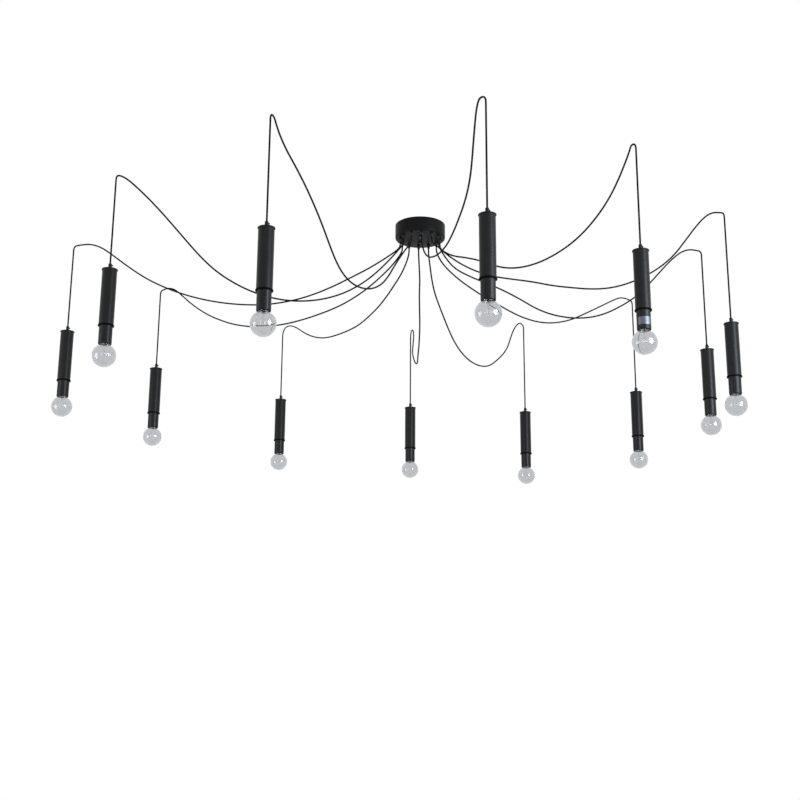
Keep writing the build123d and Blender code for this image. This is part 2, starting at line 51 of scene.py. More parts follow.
# Each arm's heading in degrees, and in mm its pendant's drop from the ceiling to the cap, and its cord's
# points. A point is (reach, aside, height): level from the gland towards the hook, to the left of that
# line, and up from the ceiling. The last one is over the swing pivot.
ROUTES_MM = [
    (12.57, 415, [
        (0, 0, -84), (7, 0, -101), (24, 0, -127), (58, 0, -166), (120, -1, -194), (188, -2, -216),
        (256, -2, -240), (320, -1, -269), (384, 0, -302), (452, 2, -321), (524, 2, -327), (594, 1, -321),
        (660, 0, -301), (722, 0, -268), (780, 1, -230), (830, 2, -186), (874, 1, -138), (918, 0, -88),
        (958, -3, -46), (996, -7, -14), (1030, -10, -3), (1060, -7, -3), (1086, 0, -3)]),
    (42.07, 427, [
        (0, 0, -84), (8, 0, -101), (27, 0, -123), (64, 0, -147), (126, 1, -172), (192, 1, -191),
        (262, 0, -209), (334, -2, -222), (406, -3, -237), (478, -2, -245), (550, 0, -245), (620, 2, -238),
        (688, 2, -223), (754, 1, -202), (818, 0, -175), (880, -1, -142), (944, -2, -108), (1008, -3, -73),
        (1070, -5, -39), (1124, -7, -11), (1168, -7, -3), (1202, -4, -3), (1228, 0, -3)]),
    (67.48, 430, [
        (0, 0, -86), (6, 0, -104), (17, 0, -134), (36, 0, -182), (66, 0, -226), (114, 1, -257),
        (164, 2, -287), (220, 2, -322), (284, 1, -357), (352, 0, -379), (424, -1, -389), (496, -2, -391),
        (566, -2, -384), (634, -1, -372), (702, 0, -354), (768, 1, -329), (832, 2, -297), (896, 1, -261),
        (958, 0, -222), (1014, 0, -178), (1058, 0, -123), (1102, -1, -73), (1150, -2, -33),
        (1204, -3, -6), (1242, -2, -3), (1273, 0, -3)]),
    (90.83, 385, [
        (0, 0, -86), (4, -1, -105), (13, -3, -136), (30, -6, -184), (60, -5, -226), (106, -7, -260),
        (160, -10, -290), (218, -12, -321), (280, -12, -347), (348, -12, -364), (420, -11, -371),
        (492, -12, -371), (562, -13, -363), (630, -12, -348), (696, -9, -327), (758, -6, -300),
        (818, -3, -268), (878, -1, -235), (938, -1, -201), (998, -4, -163), (1056, -8, -118),
        (1108, -11, -72), (1160, -11, -35), (1212, -8, -11), (1250, -3, -4), (1276, 0, -21)]),
    (115.74, 357, [
        (0, 0, -84), (9, 0, -101), (29, 0, -122), (68, 0, -150), (130, 1, -177), (198, 2, -203),
        (268, 2, -222), (340, 0, -231), (412, -2, -237), (486, -3, -240), (558, -2, -237), (630, 0, -231),
        (702, 2, -223), (774, 3, -212), (846, 2, -197), (916, 0, -177), (984, -2, -154), (1050, -3, -127),
        (1114, -2, -97), (1176, 0, -63), (1236, 2, -33), (1292, 3, -13), (1342, 2, -4), (1377, 0, -6),
        (1397, 0, -23)]),
    (145.64, 360, [
        (0, 0, -84), (8, 0, -100), (25, 0, -118), (56, 0, -145), (108, -1, -178), (168, -2, -210),
        (234, -3, -236), (304, -3, -256), (376, -1, -269), (448, 1, -278), (520, 2, -283), (592, 2, -283),
        (664, 1, -277), (734, 0, -267), (802, -1, -251), (868, -1, -230), (932, 0, -203), (994, 1, -172),
        (1054, 2, -135), (1110, 4, -94), (1160, 6, -51), (1200, 9, -17), (1236, 12, -3), (1272, 9, -3),
        (1300, 0, -3)]),
    (169.97, 361, [
        (0, 0, -83), (9, 0, -97), (30, 0, -112), (64, 0, -134), (122, 1, -168), (184, 2, -198),
        (250, 2, -229), (320, 1, -256), (392, 0, -276), (466, -2, -287), (540, -3, -291), (612, -2, -287),
        (684, 0, -278), (754, 2, -264), (822, 3, -245), (888, 2, -221), (952, 0, -192), (1012, -1, -160),
        (1066, 0, -124), (1118, 3, -86), (1168, 7, -47), (1212, 10, -17), (1256, 12, -3), (1298, 8, -3),
        (1330, 0, -3)]),
    (201.99, 349, [
        (0, 0, -84), (7, 0, -98), (22, 0, -118), (48, 0, -151), (88, -1, -198), (132, -2, -243),
        (182, -2, -284), (240, -1, -321), (306, 1, -350), (376, 2, -369), (448, 2, -377), (520, 1, -373),
        (588, -1, -358), (652, -2, -334), (712, -2, -302), (764, -1, -262), (812, 1, -217),
        (860, 2, -169), (908, 2, -121), (956, 3, -77), (1000, 4, -41), (1038, 6, -14), (1062, 4, -3),
        (1078, 0, -3)]),
    (241.86, 381, [
        (0, 0, -84), (8, 0, -98), (25, 0, -117), (58, 0, -149), (102, 1, -195), (144, 2, -242),
        (184, 2, -291), (232, 1, -336), (292, -1, -370), (360, -2, -390), (430, -2, -395),
        (496, -1, -380), (550, 1, -346), (598, 2, -297), (644, 2, -247), (692, 1, -200), (742, -1, -155),
        (796, -2, -116), (850, -1, -85), (892, 1, -54), (916, 2, -27), (932, 2, -3), (947, 0, -3)]),
    (280.43, 384, [
        (0, 0, -84), (7, 0, -101), (22, 0, -126), (50, 0, -156), (100, 0, -189), (162, -1, -217),
        (228, -1, -239), (298, 0, -255), (368, 0, -266), (438, -1, -273), (508, -3, -273),
        (576, -5, -268), (642, -7, -259), (704, -8, -246), (756, -8, -222), (796, -8, -187),
        (824, -9, -142), (850, -11, -96), (882, -14, -54), (918, -18, -22), (954, -18, -3),
        (963, 0, -3)]),
    (314.92, 372, [
        (0, 0, -82), (9, 0, -95), (27, 0, -112), (58, 0, -142), (106, 1, -174), (168, 2, -196),
        (232, 2, -223), (298, 1, -260), (366, -1, -290), (436, -2, -305), (508, -2, -307),
        (578, -1, -296), (644, 1, -275), (704, 2, -244), (758, 2, -204), (804, 1, -160), (842, -1, -111),
        (872, -2, -61), (893, -5, -27), (905, -8, -3), (917, 0, -3)]),
    (353.65, 432, [
        (0, 0, -84), (6, 0, -99), (20, 0, -118), (47, 0, -141), (90, -1, -173), (148, -2, -204),
        (214, -2, -226), (284, -1, -238), (354, 1, -249), (424, 2, -266), (494, 2, -276), (566, 1, -285),
        (636, -1, -284), (704, -2, -268), (768, -2, -240), (826, -1, -205), (876, 0, -160),
        (920, -2, -103), (958, -4, -53), (992, -7, -17), (1020, -9, -3), (1045, -6, -3), (1063, 0, -3)]),
]
ROUTES = [(heading, drop / 1000, [tuple(part / 1000 for part in point) for point in points])
          for heading, drop, points in ROUTES_MM]

# Sizes
MM = 0.001
SEAM = 0.1 * MM             # the clearance between parts that meet
LAP = 0.3 * MM              # how far a form reaches into its neighbour
FINE = 0.3 * MM             # the rounding of a fine edge
SOFT = 0.5 * MM             # the rounding of a usual edge
ROUND = 72                  # flats round a turned piece, and then round finer and smaller ones
FINE_ROUND, CAP_END_ROUND, GRIP_ROUND, HEAD_ROUND, THREAD_ROUND, SMALL_ROUND, HEX = 96, 48, 48, 40, 32, 24, 6
ARC_STEPS = 16

# Canopy and bracket
CANOPY_R = 95 * MM
CANOPY_H = 54 * MM
CANOPY_WALL = 1.5 * MM
CANOPY_EDGE_R = 5 * MM
CANOPY_ROUND = 160
FLOOR_Z = -CANOPY_H + CANOPY_WALL
BRACKET_T = 2 * MM
BRACKET_SOFT = 0.2 * MM

# Cord glands
GLAND_RING_R = 75 * MM
GLAND_START = 3.5           # the first gland's bearing in degrees
GLAND_H = 12.5 * MM
GLAND_R = 6 * MM
COLLAR_H = 4.5 * MM
NOSE_TOP_R = GLAND_R * 0.85
NOSE_LOW_R = GLAND_R * 0.82
NOSE_STRAIGHT = 2.5 * MM
NOSE_SOFT = 1 * MM
NOSE_ROUND = 60
NOSE_RIBS = 10
RIB_DEPTH = 0.35 * MM
GLAND_TIP_R = 4.4 * MM
GLAND_TIP_SOFT = 0.6 * MM
GLAND_THREAD_R = 4.5 * MM
GLAND_THREAD = (1 * MM, 0.35 * MM)      # a thread's pitch and depth
THREAD_H = 7 * MM
LOCKNUT_R = 7 * MM
LOCKNUT_H = 3.6 * MM
NUT_SOFT = 0.4 * MM

# Studs, nuts and the earth screw
STUD_Y = 30 * MM
STUD_R = 2.4 * MM
STUD_BELOW = 6 * MM
STUD_THREAD = (0.8 * MM, 0.3 * MM)
STUD_NUT_R = 4.5 * MM
STUD_NUT_H = 3.3 * MM
CAP_NUT_R = 4.5 * MM
CAP_NUT_H = 8.5 * MM
CAP_NUT_HEX_H = 4.6 * MM
DOME_R = CAP_NUT_R * 0.84
DOME_STEPS = 8
EARTH_PLACE = 17 * MM
EARTH_R = 1.8 * MM
EARTH_THREAD = (0.6 * MM, 0.25 * MM)
EARTH_HEAD_R = 3.5 * MM
EARTH_HEAD_H = 2.5 * MM
EARTH_SLOT = 1 * MM
EARTH_TURN = 0.5            # how its slot lies, in radians

# Terminal block and tails
BLOCK_W = 17 * MM
BLOCK_H = 14 * MM
BLOCK_ROW = 9 * MM
POLE_PITCH = 12 * MM
BLOCK_SCREW_R = 2.1 * MM
BLOCK_SCREW_H = 1.2 * MM
BLOCK_SLOT = 0.6 * MM
BLOCK_TURN = 0.7
SCREW_LOW = FLOOR_Z + SEAM + BLOCK_H - 2 * BLOCK_SCREW_H + SEAM
LEAD_PITCH = 5.4 * MM
LEAD_RISE = 23 * MM
LEAD_START = 2 * MM         # how far under its tail's top a lead starts
LEAD_TURNS = 3
CORE_R = 0.62 * MM
CORE_OFF = 0.65 * MM
CORE_SIDES = 8

# Cords
CORD_D = 6 * MM
CORD_SIDES = 14
LINE_STEPS = 12
CORD_IN_GLAND = 10 * MM
CORD_START_Z = CORD_IN_GLAND - CANOPY_H - GLAND_H
TAIL_TOP_Z = FLOOR_Z + THREAD_H
TAIL_GAP = 0.3 * MM
HOOK_STRAIGHT = 36 * MM     # how far under its fold a cord is already straight
TURN_TOP_Z = -28 * MM       # a height on each cord's drop, just under the ceiling

# Pendant
GRIP_R = 6 * MM
GRIP_H = 21 * MM
GRIP_CORD_L = 17 * MM
GRIP_CHAMFER = 1 * MM
GRIP_CHAMFER_H = 2 * MM
GRIP_CHAMFER_SOFT = 0.6 * MM
GRIP_GROOVE = [(0, 2.2 * MM, 0.3 * MM), (0.5 * MM, 1.6 * MM, 0.2 * MM), (0, 1 * MM, 0.2 * MM)]
GRIP_SCREW_R = 2.5 * MM
GRIP_SCREW_L = 3.7 * MM
GRIP_SCREW_UP = 14.5 * MM
GRIP_SCREW_TURN = math.radians(22.5)
GRIP_NECK_IN = 0.6 * MM
GRIP_NECK_L = 1.4 * MM
GRIP_SLOT = 0.7 * MM
GRIP_SLOT_TURN = 0.4
TUBE_R = 25 * MM
TUBE_WALL = 1.5 * MM
TUBE_L = 200 * MM
LIP_R = 27.25 * MM
LIP_H = 3 * MM
LIP_SOFT = (0.9 * MM, 0.6 * MM)         # at its top and at its lower edge
EDGE_OVER = 2.2 * MM        # a near-black band laps the lip at the tube's end and reaches a little under it: painted shade where the lip's underside is in shadow
EDGE_UNDER = 2.8 * MM
EDGE_GAP = 1 * MM
EDGE_SOFT = (0.8 * MM, 1.4 * MM)
HOLDER_R = 22.5 * MM
HOLDER_OUT = 65 * MM
HOLDER_IN = 16 * MM
HOLDER_SOFT = 1.6 * MM
MOUTH_R = 20 * MM
MOUTH_H = 13 * MM
MOUTH_SOFT = 0.8 * MM
SOCKET_R = 13.3 * MM
SOCKET_H = 29 * MM
SOCKET_SOFT = 0.4 * MM
FOIL_TURN = math.radians(-92)
FOIL_HALF = math.radians(60)
FOIL_TOP = 26 * MM
FOIL_H = 25 * MM
FOIL_PROUD = 0.08 * MM
FOIL_STEPS = 32
FOIL_ARMS = (10,)

# Bulb
GLOBE_R = 40 * MM
GLOBE_DROP = 104 * MM
GLOBE_STEPS = 40
GLASS_T = 1 * MM
SHOULDER_R = 19 * MM
SHOULDER_STEPS = 16
SHOULDER_PULL = 0.9
NECK_GAP = 0.3 * MM         # between the neck's foot and the socket
NECK_TAPER = 2 * MM
CAP_R = 13 * MM
CAP_H = 22 * MM
CAP_LAP = 5 * MM
CAP_THREAD_D = 0.7 * MM
CAP_THREAD_WAVES = 4
CAP_THREAD_STEPS = 32
CAP_THREAD_ENDS = (5 * MM, 3 * MM)      # over the neck's foot and under the cap's top
CAP_RUN_OUT = 1 * MM
CAP_TOP_IN = 2.5 * MM
CAP_BORE_IN = 3.3 * MM
CAP_STEP_IN = 1.2 * MM
CAP_STEP_H = 3 * MM
SKIRT_T = 0.6 * MM
SKIRT_DOWN = 1.2 * MM       # how far under the holder's mouth the cap's skirt ends
CAP_END = [(0, -2), (10.4, -2), (9.8, 0.4), (5.6, 2), (0, 2)]   # (radius, height) in mm from the cap's top
CAP_CONTACT = [(0, 1.5), (5, 1.5), (5, 2.4), (3, 2.9), (0, 3)]
STEM_OVER = 1 * MM
STEM_FLARE = [(9.5, 3, 0), (9, 0, 3), (3.6, -8, 4)]     # (radius, height, rounding) in mm, heights from
STEM_TIP = [(2.3, 12, 2), (2, 4, 1), (3, 1.5, 1.4), (1.6, -1, 1)]       # the neck's foot or the stem's end
FIL_R = 11 * MM
FIL_RISE = 3 * MM
FIL_SAG = 2.5 * MM
FIL_START = math.radians(-60)
FIL_GAP = math.radians(28)
FIL_STRETCHES = 6
LEG_START = (2 * MM, 14 * MM)           # out from the middle and up from the stem's end
LEG_BEND = (0.8, 10 * MM)               # a share of the way out, and up
LEG_R = 0.6 * MM
HOOK_START = 1.5 * MM
HOOK_BEND = (0.5, 2.5 * MM)
HOOK_R = 0.45 * MM
COIL_R = 0.95 * MM
COIL_TURN = 1.6             # radians in each step
WIRE_R = 0.42 * MM

# Looks
NOISE_BAND = (0.3, 0.7)     # where noise has most of its values
PEEL_SCALE = 1100.0
PEEL_DEPTH = 0.012 * MM
PATCH_SCALE = 30.0
COAT_DRIFT = 0.05           # how far the roughness drifts each way
COAT_SHADES = ((0.85, 0.85, 0.9), (1.15, 1.15, 1.2))
DRIFT_SCALE = 60.0
PLASTIC_DRIFT = 0.06
PLASTIC_SHADES = (0.88, 1.12)
PLASTIC_GRAIN = 900.0
GRAIN_DEPTH = 0.04 * MM
METAL_DRIFT = (0.08, 0.1)
MARK_SHADE = 0.82
MARK_DEPTH = 0.02 * MM
BRAID_YARNS = 8
BRAID_PITCH = 3 * MM
BRAID_DEPTH = 0.25 * MM
# The braid's colour follows its weave: painted shade in the hollows between the yarns and a painted sheen on
# their crowns, over a random fibre grain.
BRAID_SHADE_AND_GRAIN = (0.35, 1.6)
FIBRE_SCALE = 2600.0
FIBRE_SHARE = 0.25
# The bulb glass's grey is painted shade: it stands in for the darker surroundings that clear glass shows.
GLASS_SHADE_TINT = (0.70, 0.71, 0.72)
STEM_TINT = (0.98, 0.985, 0.99)
GLASS_IOR = 1.47
GLASS_WAVES = 30.0
GLASS_WAVE_DEPTH = 0.02 * MM
WORLD_LEVEL = 0.5
FLOOR_GLOW = 0.98           # how far the floor is the plain background to the eye
FLOOR_LEVEL = -7.5          # far below, so that no view from below is under it
FLOOR_HALF = 60
LIGHT_AIM = Vector((0, 0, -0.5))
SOFTBOXES = [               # name, place, width and height, watts and colour
    ("key", (2.6, -2.4, -0.6), (2.2, 2.2), 190, (0.84, 0.92, 1.0)),
    ("fill", (-3.8, -1.6, -1.2), (2.1, 2.2), 95, (0.95, 0.98, 1.0)),
]
CAMERA_PLACE = (-0.0730, -4.3052, -1.7741)
CAMERA_PITCH = 14.1636
CAMERA_ROLL = 0.3694
CAMERA_LENS = 54.162
SENSOR_WIDTH = 36
ARMS = len(ROUTES)


def number(arm):
    """The two digits in the names of one arm's nodes."""
    return f"{arm + 1:02d}"


def gland_place(arm):
    """The gland's place in the canopy's floor."""
    bearing = math.radians(GLAND_START + arm * 360 / ARMS)
    return Vector((GLAND_RING_R * math.cos(bearing), GLAND_RING_R * math.sin(bearing), 0))


def on_arm(arm, point):
    """A (reach, aside, height) point of one arm, in the light's own frame."""
    return gland_place(arm) + Matrix.Rotation(math.radians(ROUTES[arm][0]), 3, "Z") @ Vector(point)


def pendant_place(arm):
    """The middle of one pendant's cap."""
    reach, aside, _ = ROUTES[arm][2][-1]
    return on_arm(arm, (reach, aside, -ROUTES[arm][1]))


# Outlines, round forms, lines and the pieces made of them

def rounded(corners, steps=6):
    """An outline of (radius, height, corner radius) corners, each round corner as an arc."""
    outline = []
    for index, (radius, height, soft) in enumerate(corners):
        here = Vector((radius, height))
        if not soft:
            outline.append((radius, height))
            continue
        back = (Vector(corners[index - 1][:2]) - here).normalized()
        ahead = (Vector(corners[(index + 1) % len(corners)][:2]) - here).normalized()
        half = back.angle(ahead) / 2
        centre = here + (back + ahead).normalized() * (soft / math.sin(half))
        first = here + back * (soft / math.tan(half)) - centre
        last = here + ahead * (soft / math.tan(half)) - centre
        start = math.atan2(first.y, first.x)
        turn = math.remainder(math.atan2(last.y, last.x) - start, math.tau)
        for step in range(steps + 1):
            angle = start + turn * step / steps
            outline.append((centre.x + soft * math.cos(angle), centre.y + soft * math.sin(angle)))
    return outline


def turned(outline, sides=ROUND, ribs=0, rib_depth=0):
    """Corners and faces of a closed outline turned about Z. A point on the axis becomes one corner."""
    corners, rows = [], []
    for radius, height in outline:
        if radius == 0:
            rows.append([len(corners)])
            corners.append((0, 0, height))
            continue
        rows.append(list(range(len(corners), len(corners) + sides)))
        for count in range(sides):
            angle = math.tau * count / sides
            reach = radius - rib_depth * (0.5 - 0.5 * math.cos(ribs * angle))
            corners.append((reach * math.cos(angle), reach * math.sin(angle), height))
    faces = []
    for row, after in zip(rows, rows[1:] + rows[:1]):
        if len(row) == len(after) == 1:
            continue
        for count in range(sides):
            face = [row[count % len(row)], row[(count + 1) % len(row)],
                    after[(count + 1) % len(after)], after[count % len(after)]]
            faces.append(list(dict.fromkeys(face)))
    return corners, faces


def prism(flat, low, high):
    """A flat outline of (x, y) corners drawn up from one height to another."""
    corners = [(x, y, height) for height in (low, high) for x, y in flat]
    count = len(flat)
    sides = [[index, (index + 1) % count, (index + 1) % count + count, index + count]
             for index in range(count)]
    return corners, [list(range(count)), list(range(count, 2 * count)), *sides]


def moved(part, place, turn=0, lean=None):
    """A part turned about Z, then leant if asked, and put in its place."""
    matrix = Matrix.Translation(place) @ (lean or Matrix.Identity(4)) @ Matrix.Rotation(turn, 4, "Z")
    return [tuple(matrix @ Vector(corner)) for corner in part[0]], part[1]


def solid(name, parts, material, sharp=math.radians(32)):
    """One mesh of several closed parts, smooth but for its sharp edges."""
    corners, faces = [], []
    for part_corners, part_faces in parts:
        faces += [[index + len(corners) for index in face] for face in part_faces]
        corners += part_corners
    mesh = bpy.data.meshes.new(name)
    mesh.from_pydata(corners, [], faces)
    edit = bmesh.new()
    edit.from_mesh(mesh)
    bmesh.ops.recalc_face_normals(edit, faces=edit.faces)
    edit.to_mesh(mesh)
    edit.free()
    mesh.polygons.foreach_set("use_smooth", [True] * len(mesh.polygons))
    mesh.set_sharp_from_angle(angle=sharp)
    mesh.materials.append(material)
    return mesh


def shown(name, data):
    """A new object in the scene."""
    thing = bpy.data.objects.new(name, data)
    bpy.context.scene.collection.objects.link(thing)
    return thing


def piece(name, mesh, body, stands_for=(), place=(0, 0, 0)):
    """One shown piece of the light, on its body."""
    thing = shown(name, mesh)
    thing.location = place
    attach(thing, body)
    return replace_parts(thing, *stands_for)


def line_of(points):
    """The smooth line that a route's points pull, as read from its NURBS spline."""
    curve = bpy.data.curves.new("route", "CURVE")
    curve.dimensions = "3D"
    curve.resolution_u = LINE_STEPS
    spline = curve.splines.new("NURBS")
    spline.points.add(len(points) - 1)
    for control, point in zip(spline.points, points):
        control.co = (*point, 1)
    spline.order_u = 3
    spline.use_endpoint_u = True
    route = shown("route", curve)
    bpy.context.view_layer.update()
    mesh = bpy.data.meshes.new_from_object(route)
    line = [vertex.co.copy() for vertex in mesh.vertices]
    bpy.data.meshes.remove(mesh)
    bpy.data.objects.remove(route)
    return line


def spun(line):
    """A frame at each point of a line, carried along it without twist: (point, side, up)."""
    frames = []
    side = (line[1] - line[0]).orthogonal().normalized()
    for index, point in enumerate(line):
        ahead = (line[min(index + 1, len(line) - 1)] - line[max(index - 1, 0)]).normalized()
        side = (side - ahead * side.dot(ahead)).normalized()
        frames.append((point, side, ahead.cross(side)))
    return frames


def tube(line, radius, sides=CORD_SIDES):
    """Corners and faces of a round tube along a line, closed at both ends."""
    corners = []
    for point, side, up in spun(line):
        for count in range(sides):
            angle = math.tau * count / sides
            corners.append(tuple(point + (side * math.cos(angle) + up * math.sin(angle)) * radius))
    faces = []
    for row in range(len(line) - 1):
        for count in range(sides):
            low, high = row * sides, (row + 1) * sides
            faces.append([low + count, low + (count + 1) % sides, high + (count + 1) % sides, high + count])
    return corners, faces + [list(range(sides)), list(range(len(corners) - sides, len(corners)))]


def lay_out(mesh, line, sides=CORD_SIDES):
    """A tube's map: across is the way round it, and up is the metres along it."""
    run = [0.0]
    for before, after in zip(line, line[1:]):
        run.append(run[-1] + (after - before).length)
    layer = mesh.uv_layers.new(name="along")
    for face in mesh.polygons:
        last_flat = face.index % sides == sides - 1
        for loop in face.loop_indices:
            row, count = divmod(mesh.loops[loop].vertex_index, sides)
            layer.data[loop].uv = ((count + sides * (last_flat and count == 0)) / sides, run[row])


# Materials

def shader(name, colour, roughness, **sockets):
    """A new node material: (material, its tree, its main shader)."""
    material = bpy.data.materials.new(name)
    material.use_nodes = True
    tree = material.node_tree
    main = tree.nodes["Principled BSDF"]
    main.inputs["Base Color"].default_value = (*colour, 1)
    main.inputs["Roughness"].default_value = roughness
    for socket, value in sockets.items():
        main.inputs[socket.replace("_", " ")].default_value = value
    return material, tree, main


def node(tree, kind, *feeds, **settings):
    """A new node with its settings, fed in order by sockets or numbers."""
    made = tree.nodes.new(kind)
    for key, value in settings.items():
        setattr(made, key, value)
    for socket, feed in zip(made.inputs, feeds):
        if isinstance(feed, bpy.types.NodeSocket):
            tree.links.new(feed, socket)
        elif feed is not None:
            socket.default_value = feed
    return made


def sums(tree, operation, *feeds):
    """One step of arithmetic."""
    return node(tree, "ShaderNodeMath", *feeds, operation=operation).outputs[0]


def speckle(tree, scale, detail=2.0, source="Object"):
    """Fine noise over the surface, from 0 to 1. The scale is in marks to the metre."""
    place = node(tree, "ShaderNodeTexCoord").outputs[source]
    noise = node(tree, "ShaderNodeTexNoise", place)
    noise.inputs["Scale"].default_value = scale
    noise.inputs["Detail"].default_value = detail
    return noise.outputs["Fac"]


def ramp(tree, factor, low, high, start=0.0, stop=1.0):
    """A number that goes from low to high as the factor goes from start to stop."""
    return node(tree, "ShaderNodeMapRange", factor, start, stop, low, high).outputs[0]


def relief(tree, main, height, depth, strength=1.0):
    """Bump of a real depth on the main shader."""
    bump = node(tree, "ShaderNodeBump")
    bump.inputs["Strength"].default_value = strength
    bump.inputs["Distance"].default_value = depth
    tree.links.new(height, bump.inputs["Height"])
    tree.links.new(bump.outputs[0], main.inputs["Normal"])


def tinted(tree, main, factor, dark, light):
    """The colour goes between two with a factor."""
    mix = node(tree, "ShaderNodeMix", data_type="RGBA")
    mix.inputs[6].default_value = (*dark, 1)
    mix.inputs[7].default_value = (*light, 1)
    tree.links.new(factor, mix.inputs[0])
    tree.links.new(mix.outputs[2], main.inputs["Base Color"])


def powder_coat(name, level, roughness, specular):
    """Black powder coat on steel: satin, with a fine orange peel and a faint unevenness."""
    material, tree, main = shader(name, (level,) * 3, roughness, Specular_IOR_Level=specular)
    peel = speckle(tree, PEEL_SCALE)
    patches = speckle(tree, PATCH_SCALE, 4.0)
    worn = ramp(tree, patches, roughness - COAT_DRIFT, roughness + COAT_DRIFT, *NOISE_BAND)
    tree.links.new(worn, main.inputs["Roughness"])
    dark, light = ([level * share for share in shades] for shades in COAT_SHADES)
    tinted(tree, main, patches, dark, light)
    relief(tree, main, peel, PEEL_DEPTH)
    return material


def moulded(name, colour, roughness, **sockets):
    """Moulded plastic: a fine even grain and a slight drift of the gloss."""
    material, tree, main = shader(name, colour, roughness, **sockets)
    drift = speckle(tree, DRIFT_SCALE, 3.0)
    gloss = ramp(tree, drift, roughness - PLASTIC_DRIFT, roughness + PLASTIC_DRIFT, *NOISE_BAND)
    tree.links.new(gloss, main.inputs["Roughness"])
    dark, light = ([value * share for value in colour] for share in PLASTIC_SHADES)
    tinted(tree, main, drift, dark, light)
    relief(tree, main, speckle(tree, PLASTIC_GRAIN), GRAIN_DEPTH)
    return material


def metal(name, colour, roughness, brushed=(1.0, 1.0, 1.0), scale=700.0):
    """Plated or turned metal, with fine marks that can be drawn out along one way."""
    material, tree, main = shader(name, colour, roughness, Metallic=1.0)
    place = node(tree, "ShaderNodeMapping", node(tree, "ShaderNodeTexCoord").outputs["Object"])
    place.inputs["Scale"].default_value = brushed
    noise = node(tree, "ShaderNodeTexNoise", place.outputs[0])
    noise.inputs["Scale"].default_value = scale
    marks = noise.outputs["Fac"]
    gloss = ramp(tree, marks, roughness - METAL_DRIFT[0], roughness + METAL_DRIFT[1], *NOISE_BAND)
    tree.links.new(gloss, main.inputs["Roughness"])
    tinted(tree, main, marks, [value * MARK_SHADE for value in colour], colour)
    relief(tree, main, marks, MARK_DEPTH)
    return material


def braid(name, level):
    """A braided textile cover: two sets of yarns wind opposite ways and pass over and under each other."""
    material, tree, main = shader(name, (level,) * 3, roughness=0.85, Specular_IOR_Level=0.06,
                                  Sheen_Weight=0.03, Sheen_Roughness=0.5)
    split = node(tree, "ShaderNodeSeparateXYZ", node(tree, "ShaderNodeUVMap", uv_map="along").outputs[0])
    round_part = sums(tree, "MULTIPLY", split.outputs[0], float(BRAID_YARNS))
    along_part = sums(tree, "DIVIDE", split.outputs[1], BRAID_PITCH)
    right = sums(tree, "ADD", round_part, along_part)
    left = sums(tree, "SUBTRACT", round_part, along_part)
    crossings = sums(tree, "ADD", sums(tree, "FLOOR", right), sums(tree, "FLOOR", left))
    over = sums(tree, "FRACT", sums(tree, "MULTIPLY", crossings, 0.5))
    over = sums(tree, "GREATER_THAN", sums(tree, "ABSOLUTE", over), 0.25)
    crowns = [sums(tree, "ABSOLUTE", sums(tree, "SINE", sums(tree, "MULTIPLY", way, math.pi)))
              for way in (right, left)]
    height = node(tree, "ShaderNodeMix", over, None, *crowns).outputs[0]
    fibres = speckle(tree, FIBRE_SCALE, 2.0)
    # Painted shade and sheen: darker where the weave is low, lighter on the yarns' crowns, with the fibres'
    # random grain.
    dark, light = ((level * share,) * 3 for share in BRAID_SHADE_AND_GRAIN)
    tinted(tree, main, sums(tree, "MULTIPLY", height, fibres), dark, light)
    relief(tree, main, sums(tree, "ADD", height, sums(tree, "MULTIPLY", fibres, FIBRE_SHARE)), BRAID_DEPTH)
    return material


def clear_glass(name, tint):
    """Blown glass, with the slow waviness of its wall."""
    material, tree, main = shader(name, tint, roughness=0.0, Transmission_Weight=1.0, IOR=GLASS_IOR)
    relief(tree, main, speckle(tree, GLASS_WAVES, 1.0), GLASS_WAVE_DEPTH)
    return material


CANOPY_BLACK = powder_coat("canopy_powder_coat", level=0.0045, roughness=0.40, specular=0.06)
PENDANT_BLACK = powder_coat("pendant_powder_coat", level=0.008, roughness=0.35, specular=0.14)
# The lip's band is painted shade: a dull, near-black coat where the lip's underside lies in shadow.
LIP_SHADE_BLACK = powder_coat("lip_painted_shade", level=0.002, roughness=0.60, specular=0.02)
HOLDER_BLACK = moulded("lampholder_plastic", (0.008, 0.008, 0.009), roughness=0.36, Specular_IOR_Level=0.14)
GLAND_BLACK = moulded("gland_nylon", (0.010, 0.010, 0.011), roughness=0.5, Specular_IOR_Level=0.2)
NUT_BLACK = metal("black_nickel", (0.06, 0.06, 0.065), roughness=0.35)
ZINC = metal("zinc_plate", (0.42, 0.43, 0.45), roughness=0.48, brushed=(1.0, 0.12, 1.0), scale=900.0)
FASTENER = metal("plated_fastener", (0.62, 0.62, 0.60), roughness=0.28)
NICKEL = metal("nickel_cap", (0.76, 0.73, 0.68), roughness=0.22, brushed=(1.0, 1.0, 6.0), scale=500.0)
BRASS = metal("terminal_brass", (0.68, 0.50, 0.25), roughness=0.30)
FOIL = metal("blank_foil", (0.128, 0.137, 0.156), roughness=0.42, brushed=(1.0, 1.0, 0.6), scale=150.0)
TUNGSTEN = metal("filament_wire", (0.99, 0.99, 1.0), roughness=0.42)
TERMINAL = moulded("terminal_nylon", (0.72, 0.71, 0.66), roughness=0.42, Subsurface_Weight=0.1)
CORE_BROWN = moulded("core_brown", (0.10, 0.035, 0.015), roughness=0.38)
CORE_BLUE = moulded("core_blue", (0.02, 0.06, 0.28), roughness=0.38)
INSULATOR = moulded("cap_insulator", (0.012, 0.011, 0.010), roughness=0.16)
TEXTILE = braid("textile_braid", level=0.005)
# Painted shade: the clear bulb glass is tinted grey for the darker surroundings it shows.
GLASS = clear_glass("bulb_glass", GLASS_SHADE_TINT)
STEM_GLASS = clear_glass("stem_glass", STEM_TINT)


# Cords: from inside the gland, along the swag, over the fold and down into the pendant's grip

